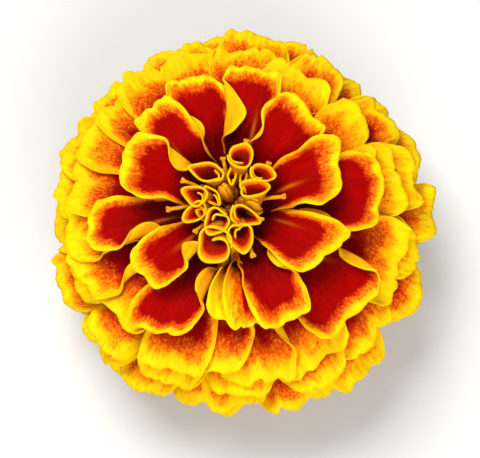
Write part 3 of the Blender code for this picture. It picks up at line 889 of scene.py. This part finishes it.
class Nodes:
    """Adds nodes to a tree and joins them up, a line for each."""

    def __init__(self, tree):
        self.tree = tree

    def add(self, kind, inputs=(), **settings):
        """A node with its settings, and with its inputs set or joined."""
        node = self.tree.nodes.new(kind)
        for name, value in settings.items():
            setattr(node, name, value)
        for name, value in dict(inputs).items():
            self.put(node.inputs[name], value)
        return node

    def put(self, socket, value):
        """Sets a socket, or joins it to another."""
        if isinstance(value, bpy.types.NodeSocket):
            self.tree.links.new(value, socket)
        else:
            socket.default_value = value

    def sum(self, *values):
        """The sum of several numbers."""
        total = values[0]
        for value in values[1:]:
            total = self.math("ADD", total, value)
        return total

    def times(self, *values):
        """The product of several numbers."""
        total = values[0]
        for value in values[1:]:
            total = self.math("MULTIPLY", total, value)
        return total

    def less(self, first, second):
        """One number less another."""
        return self.math("SUBTRACT", first, second)

    def math(self, operation, first, second):
        """Two numbers put together."""
        return self.add("ShaderNodeMath", {0: first, 1: second}, operation=operation).outputs[0]

    def mix(self, share, first, second):
        """A blend of two colours."""
        node = self.add("ShaderNodeMix", data_type="RGBA", clamp_factor=True)
        self.put(node.inputs[0], share)
        self.put(node.inputs[6], first)
        self.put(node.inputs[7], second)
        return node.outputs[2]

    def marks(self, name, output="Fac"):
        """What a piece keeps for each point under this name."""
        return self.add("ShaderNodeAttribute", attribute_name=name).outputs[output]

    def here(self):
        """The place on the piece, in metres."""
        return self.add("ShaderNodeTexCoord").outputs["Object"]

    def stretched(self, place, stretch):
        """A place stretched along its axes."""
        return self.add("ShaderNodeVectorMath", {0: place, 1: stretch}, operation="MULTIPLY").outputs[0]

    def noise(self, place, scale, detail=2.0, roughness=0.5, stretch=None):
        """Cloudy noise from 0 to 1 round 0.5."""
        if stretch:
            place = self.stretched(place, stretch)
        inputs = {"Vector": place, "Scale": scale, "Detail": detail, "Roughness": roughness}
        return self.add("ShaderNodeTexNoise", inputs).outputs["Fac"]

    def spread(self, noise, width):
        """Noise turned into a value round 0, this wide either way."""
        return self.times(self.less(noise, 0.5), 2.0 * width)

    def step(self, value, low, high):
        """0 where a value is below low, 1 above high, and smooth between."""
        node = self.add("ShaderNodeMapRange", {0: value, 1: low, 2: high}, interpolation_type="SMOOTHSTEP")
        return node.outputs[0]

    def bump(self, height, strength, distance):
        """A surface normal from heights."""
        inputs = {"Height": height, "Strength": strength, "Distance": distance}
        return self.add("ShaderNodeBump", inputs).outputs[0]


def new_look(name, roughness, shine=0.015, glow=0.0):
    """A Principled material, the means to add nodes to it, and its shader."""
    look = bpy.data.materials.new(name)
    look.use_nodes = True
    shader = look.node_tree.nodes["Principled BSDF"]
    shader.inputs["Roughness"].default_value = roughness
    shader.inputs["Specular IOR Level"].default_value = shine
    shader.inputs["Subsurface Weight"].default_value = glow
    shader.inputs["Subsurface Radius"].default_value = (0.6, 0.2, 0.05)
    shader.inputs["Subsurface Scale"].default_value = 0.6 * MM
    return look, Nodes(look.node_tree), shader


def shade_of(colour, light=1.0, warm=1.0):
    """A darker or warmer shade of a colour: warm below 1 takes green out of it."""
    red, green, blue = colour[0], colour[1], colour[2]
    return (red * light, green * light * warm, blue * light, 1.0)


def painted_margin():
    """A group that paints a blade from its yellow margin through speckled orange to red, darker towards its
    foot (partly painted shade), with a painted highlight along a crease.
    """
    ready = bpy.data.node_groups.get("Painted margin")
    if ready:
        return ready
    group = bpy.data.node_groups.new("Painted margin", "ShaderNodeTree")
    for name, kind in (*MARKS, ("Speckle", "Float"), *((shade, "Color") for shade in SHADES)):
        group.interface.new_socket(name=name, in_out="INPUT", socket_type="NodeSocket" + kind)
    for name, kind in (("Color", "Color"), ("Height", "Float")):
        group.interface.new_socket(name=name, in_out="OUTPUT", socket_type="NodeSocket" + kind)
    nodes = Nodes(group)
    given = nodes.add("NodeGroupInput").outputs
    blade = given["Blade"]
    patches = nodes.spread(nodes.noise(blade, 0.42, 2.0, stretch=(1.0, 0.7, 1.0)), 1.2)
    streaks = nodes.spread(nodes.noise(blade, 1.2, 3.0, 0.6, stretch=(1.5, 0.6, 1.0)), 0.8)
    specks = nodes.spread(nodes.noise(blade, 3.0, 3.0, 0.75, stretch=(1.0, 0.6, 1.0)), 1.0)
    inwards = nodes.sum(given["Margin"], patches, streaks)
    edge = nodes.mix(nodes.step(given["Along"], 0.42, 0.88), given["Orange"], given["Yellow"])
    colour = nodes.mix(nodes.step(inwards, 0.5, 1.9), edge, given["Orange"])
    cover = nodes.sum(nodes.times(nodes.less(inwards, 1.9), 0.3), specks)
    speckled_share = nodes.times(nodes.step(cover, -0.12, 0.18), given["Speckle"])
    colour = nodes.mix(speckled_share, colour, given["Scarlet"])
    mottled = nodes.sum(inwards, nodes.times(specks, 1.1))
    colour = nodes.mix(nodes.step(mottled, 2.4, 3.5), colour, given["Red"])
    # Towards the foot the red darkens: partly the petal's own maroon, partly painted shade deep in the head
    dark = nodes.less(1.0, nodes.step(nodes.sum(given["Along"], nodes.times(streaks, 0.2)), 0.36, 0.74))
    colour = nodes.mix(nodes.times(dark, nodes.step(mottled, 1.2, 2.0)), colour, given["Depth"])
    # A painted highlight: orange along a lit crease on some petals
    colour = nodes.mix(nodes.times(given["Crease_highlight"], nodes.step(mottled, 1.0, 2.0)), colour, given["Orange"])
    clouds = nodes.spread(nodes.noise(blade, 0.7, 3.0, 0.6, stretch=(1.8, 0.35, 1.0)), 0.35)
    shade = nodes.sum(1.0, nodes.times(specks, 0.14), clouds)
    colour = nodes.add("ShaderNodeVectorMath", {0: colour, "Scale": shade}, operation="SCALE").outputs[0]
    veins = nodes.noise(blade, 1.6, 2.0, 0.5, stretch=(2.6, 0.25, 1.0))
    height = nodes.sum(nodes.times(veins, 0.8), nodes.times(specks, 0.12))
    nodes.add("NodeGroupOutput", {"Color": colour, "Height": height})
    return group


def painted_blade(name, speckle, shades):
    """A blade's material: velvety, painted from the margin inwards."""
    look, nodes, shader = new_look(name, 0.6, glow=0.1)
    paint = nodes.add("ShaderNodeGroup", node_tree=painted_margin())
    for mark, kind in MARKS:
        nodes.put(paint.inputs[mark], nodes.marks(mark.lower(), "Vector" if kind == "Vector" else "Fac"))
    paint.inputs["Speckle"].default_value = speckle
    for shade, colour in zip(SHADES, shades):
        paint.inputs[shade].default_value = colour
    nodes.put(shader.inputs["Base Color"], paint.outputs["Color"])
    nodes.put(shader.inputs["Normal"], nodes.bump(paint.outputs["Height"], 0.35, 0.25 * MM))
    return look


def shades_of(colour, *changes):
    """Several shades of a colour, each given as its light and its warmth."""
    return [shade_of(colour, light, warm) for light, warm in changes]


def petal_face(colours):
    """The upper side of a petal."""
    # The maroon of the foot is partly painted shade
    shades = (colours.yellow, colours.orange, colours.scarlet, colours.red, colours.maroon)
    return painted_blade("petal_face", 0.9, [shade_of(shade) for shade in shades])


def petal_back(colours):
    """The underside of a petal: yellow with an orange blush."""
    # The last and darkest blush is at the foot, partly painted shade
    blush = shades_of(colours.petal_back, (1.0, 0.88), (1.0, 0.8), (0.97, 0.78), (0.9, 0.55))
    return painted_blade("petal_back", 0.5, [shade_of(colours.yellow), *blush])


def floret_inside(colours):
    """The inside of a rolled floret, red below its yellow lip, darkening down into the tube as painted shade.
    """
    lip = shade_of(colours.yellow, 0.96, 0.94)
    reds_into_shade = shades_of(colours.scarlet, (1.0, 1.0), (1.0, 0.4), (0.5, 0.5))
    return painted_blade("floret_inside", 0.3, [lip, shade_of(colours.orange), *reds_into_shade])


def floret_outside(colours):
    """The outside of a rolled floret: ochre below its yellow lip, darker lower down as painted shade."""
    lip = shade_of(colours.yellow, 0.96, 0.94)
    ochres_into_shade = shades_of(colours.floret_ochre, (1.3, 1.35), (1.1, 1.1), (1.0, 1.0), (0.85, 0.9))
    return painted_blade("floret_outside", 0.2, [lip, *ochres_into_shade])


def speckled(name, base, blotch, scale, stretch=(1.0, 1.0, 1.0)):
    """A plain look with a second colour in cloudy blotches and a slight grain."""
    look, nodes, shader = new_look(name, 0.65)
    clouds = nodes.noise(nodes.here(), scale, 4.0, 0.6, stretch)
    nodes.put(shader.inputs["Base Color"], nodes.mix(nodes.step(clouds, 0.35, 0.65), base, blotch))
    nodes.put(shader.inputs["Normal"], nodes.bump(clouds, 0.2, 0.2 * MM))
    return look


def style_orange(colours):
    """The styles, orange with paler patches."""
    return speckled("style_orange", shade_of(colours.style), shade_of(colours.style, 1.15, 1.4), 900.0)


def bud_ochre(colours):
    """The closed buds, ochre above and dark brown below, and darker down the groove on top as painted shade.
    """
    look, nodes, shader = new_look("bud_ochre", 0.6)
    clouds = nodes.spread(nodes.noise(nodes.here(), 900.0, 3.0), 0.35)
    rise = nodes.step(nodes.sum(nodes.marks("along"), clouds), 0.4, 0.85)
    ochre = shade_of(colours.floret_ochre, 1.25, 1.15)
    nodes.put(shader.inputs["Base Color"], nodes.mix(rise, (0.22, 0.03, 0.003, 1.0), ochre))
    nodes.put(shader.inputs["Normal"], nodes.bump(clouds, 0.3, 0.1 * MM))
    return look


def column_green(colours):
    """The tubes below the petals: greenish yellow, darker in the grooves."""
    return speckled("column_green", (0.45, 0.36, 0.05, 1.0), (0.30, 0.16, 0.02, 1.0), 260.0, (1.0, 1.0, 0.25))


def cup_skin(colours):
    """The cup: green, paler between the ribs, with long dark glands, and a pale cut end."""
    look, nodes, shader = new_look("cup_skin", 0.42, shine=0.4, glow=0.08)
    place = nodes.here()
    height = nodes.add("ShaderNodeSeparateXYZ", {0: place}).outputs[2]
    streaks = nodes.noise(place, 420.0, 4.0, 0.6, (1.0, 1.0, 0.12))
    clouds = nodes.noise(place, 180.0, 3.0, 0.5)
    long_cells = {"Vector": nodes.stretched(place, (1.0, 1.0, 0.4)), "Scale": 620.0}
    glands = nodes.add("ShaderNodeTexVoronoi", long_cells).outputs["Distance"]
    green = colours.cup_green
    colour = nodes.mix(nodes.step(streaks, 0.35, 0.7), shade_of(green), shade_of(green, 1.9))
    blush = nodes.times(nodes.step(clouds, 0.5, 0.75), nodes.step(height, 0.006, 0.015))
    colour = nodes.mix(nodes.times(blush, 0.6), colour, (0.20, 0.11, 0.03, 1.0))
    spots = nodes.times(nodes.less(1.0, nodes.step(glands, 0.08, 0.2)), nodes.step(height, 0.004, 0.006))
    colour = nodes.mix(nodes.times(spots, 0.7), colour, (0.05, 0.045, 0.01, 1.0))
    cut = nodes.less(1.0, nodes.step(height, 0.00005, 0.00015))
    colour = nodes.mix(cut, colour, (0.42, 0.5, 0.24, 1.0))
    nodes.put(shader.inputs["Base Color"], colour)
    relief = nodes.sum(streaks, nodes.times(spots, 0.5))
    nodes.put(shader.inputs["Normal"], nodes.bump(relief, 0.4, 0.12 * MM))
    return look


# ---------------------------------------------------------------- stage


def aim(thing, target):
    """Turns a lamp or the camera to face a place."""
    way = Vector(target) - thing.location
    thing.rotation_euler = way.to_track_quat("-Z", "Y").to_euler()


def pale_floor():
    """A plain pale floor under the flower."""
    clean_selection()
    bpy.ops.mesh.primitive_plane_add(size=2.0)
    floor = bpy.context.object
    floor.name = "floor"
    look, _, shader = new_look("pale_floor", 0.8)
    shader.inputs["Base Color"].default_value = (0.72, 0.72, 0.70, 1.0)
    floor.data.materials.append(look)


def soft_light():
    """An even sky, a broad key light and a weak fill light."""
    world = bpy.data.worlds.new("studio")
    bpy.context.scene.world = world
    world.use_nodes = True
    world.node_tree.nodes["Background"].inputs["Color"].default_value = (1.0, 1.0, 1.0, 1.0)
    world.node_tree.nodes["Background"].inputs["Strength"].default_value = 0.30
    for name, place, size, power in (
        ("key", (-0.12, 0.16, 0.42), 0.25, 2.1),
        ("fill", (0.10, -0.34, 0.28), 0.3, 1.5),
    ):
        bpy.ops.object.light_add(type="AREA", location=place)
        lamp = bpy.context.object
        lamp.name = name
        lamp.data.size = size
        lamp.data.energy = power
        aim(lamp, (0.0, 0.0, 0.02))


def camera_above():
    """The camera, which looks down on the bloom from a little to its front."""
    elevation = math.radians(75.0)
    distance = 0.3047
    target = np.array((0.0011, -0.0013, 0.016))
    bpy.ops.object.camera_add()
    camera = bpy.context.object
    camera.location = target + distance * np.array((0.0, -math.cos(elevation), math.sin(elevation)))
    camera.data.lens = 150.0
    camera.data.sensor_width = 36.0
    camera.data.clip_start = 0.01
    aim(camera, target)
    bpy.context.scene.camera = camera
    bpy.context.scene.view_settings.view_transform = "Standard"


# ---------------------------------------------------------------- add-on


def length_property(name, description, default):
    """A size that a user may change, in metres."""
    return bpy.props.FloatProperty(
        name=name, description=description, default=default, min=0.0, precision=5, unit="LENGTH"
    )


def colour_property(name, description, default):
    """A colour that a user may change."""
    return bpy.props.FloatVectorProperty(
        name=name, description=description, default=default, size=3, min=0.0, max=1.0, subtype="COLOR"
    )


class MarigoldSizes(bpy.types.PropertyGroup):
    """The sizes of the head."""

    bloom_radius: length_property("Bloom radius", "From the axis to the outermost petal tips", 30.0 * MM)
    dome_top: length_property("Dome top", "Height of the innermost petal tips", 33.0 * MM)
    dome_drop: length_property("Dome drop", "How far the tips come down to the rim of the bloom", 17.8 * MM)
    petal_thickness: length_property("Petal thickness", "Thickness of an open petal", 0.16 * MM)
    floret_thickness: length_property("Floret thickness", "Thickness of a rolled floret's wall", 0.26 * MM)
    style_radius: length_property("Style radius", "Half the thickness of a style", 0.28 * MM)
    cup_radius: length_property(
        "Cup radius", "Radius of the green cup between its ribs", (CUP_HIGH.x - CUP_LOW.x) / 2 - RIB_DEPTH
    )
    stalk_radius: length_property("Stalk radius", "Radius of the cut stalk", 1.9 * MM)


class MarigoldColours(bpy.types.PropertyGroup):
    """The colours of the head."""

    yellow: colour_property("Yellow", "Margins of the petals", (0.95, 0.60, 0.003))
    orange: colour_property("Orange", "Next to the yellow", (0.90, 0.22, 0.003))
    scarlet: colour_property("Scarlet", "Between the orange and the red", (0.57, 0.035, 0.002))
    red: colour_property("Red", "Middle of the petals", (0.30, 0.001, 0.0006))
    # Maroon is the petals' own dark foot and also painted shade where they lie deep in the head
    maroon: colour_property("Maroon", "Foot of the petals", (0.10, 0.0008, 0.0006))
    petal_back: colour_property("Petal back", "Underside of the petals", (0.94, 0.55, 0.004))
    floret_ochre: colour_property("Floret ochre", "Outside of the rolled florets", (0.62, 0.23, 0.008))
    style: colour_property("Style", "The styles between the florets", (0.74, 0.27, 0.012))
    cup_green: colour_property("Cup green", "The cup under the petals", (0.075, 0.19, 0.03))


def build(context, make):
    """Makes a group of pieces from the sizes and colours of the scene."""
    make(context.scene.marigold_sizes, context.scene.marigold_colours)
    return {"FINISHED"}


class MARIGOLD_OT_petals(bpy.types.Operator):
    """Lay every whorl of petals from the middle outwards"""

    bl_idname = "marigold.petals"
    bl_label = "Petals"

    def execute(self, context):
        return build(context, open_petals)


class MARIGOLD_OT_florets(bpy.types.Operator):
    """Roll the young florets of the tuft"""

    bl_idname = "marigold.florets"
    bl_label = "Rolled florets"

    def execute(self, context):
        return build(context, rolled_florets)


class MARIGOLD_OT_buds(bpy.types.Operator):
    """Make the closed buds in the very middle"""

    bl_idname = "marigold.buds"
    bl_label = "Closed buds"

    def execute(self, context):
        return build(context, closed_buds)


class MARIGOLD_OT_styles(bpy.types.Operator):
    """Make the forked styles round the tuft"""

    bl_idname = "marigold.styles"
    bl_label = "Forked styles"

    def execute(self, context):
        return build(context, forked_styles)


class MARIGOLD_OT_column(bpy.types.Operator):
    """Make the ribbed column that the petals leave"""

    bl_idname = "marigold.column"
    bl_label = "Floret column"

    def execute(self, context):
        return build(context, floret_column)


class MARIGOLD_OT_cup(bpy.types.Operator):
    """Make the green cup and the stub of the stalk"""

    bl_idname = "marigold.cup"
    bl_label = "Green cup"

    def execute(self, context):
        return build(context, green_cup)


class MARIGOLD_OT_stage(bpy.types.Operator):
    """Set up the floor, the lights and the camera"""

    bl_idname = "marigold.stage"
    bl_label = "Stage"

    def execute(self, context):
        pale_floor()
        soft_light()
        camera_above()
        return {"FINISHED"}


OPERATORS = (
    MARIGOLD_OT_petals,
    MARIGOLD_OT_florets,
    MARIGOLD_OT_buds,
    MARIGOLD_OT_styles,
    MARIGOLD_OT_column,
    MARIGOLD_OT_cup,
    MARIGOLD_OT_stage,
)


class MARIGOLD_PT_panel(bpy.types.Panel):
    """The sizes, colours and pieces of the marigold"""

    bl_idname = "MARIGOLD_PT_panel"
    bl_label = "Marigold"
    bl_space_type = "VIEW_3D"
    bl_region_type = "UI"
    bl_category = "Marigold"

    def draw(self, context):
        for group in (context.scene.marigold_sizes, context.scene.marigold_colours):
            box = self.layout.box()
            for name in type(group).__annotations__:
                box.prop(group, name)
        for operator in OPERATORS:
            self.layout.operator(operator.bl_idname)


CLASSES = (MarigoldSizes, MarigoldColours, *OPERATORS, MARIGOLD_PT_panel)


def register():
    """Registers the classes and gives each scene its sizes and colours."""
    for one in CLASSES:
        bpy.utils.register_class(one)
    bpy.types.Scene.marigold_sizes = bpy.props.PointerProperty(type=MarigoldSizes)
    bpy.types.Scene.marigold_colours = bpy.props.PointerProperty(type=MarigoldColours)


def unregister():
    """Undoes what register did."""
    del bpy.types.Scene.marigold_colours
    del bpy.types.Scene.marigold_sizes
    for one in reversed(CLASSES):
        bpy.utils.unregister_class(one)


def main():
    """Makes every piece in order."""
    register()
    bpy.ops.marigold.petals()
    bpy.ops.marigold.florets()
    bpy.ops.marigold.buds()
    bpy.ops.marigold.styles()
    bpy.ops.marigold.column()
    bpy.ops.marigold.cup()
    bpy.ops.marigold.stage()


if __name__ == "__main__":
    main()
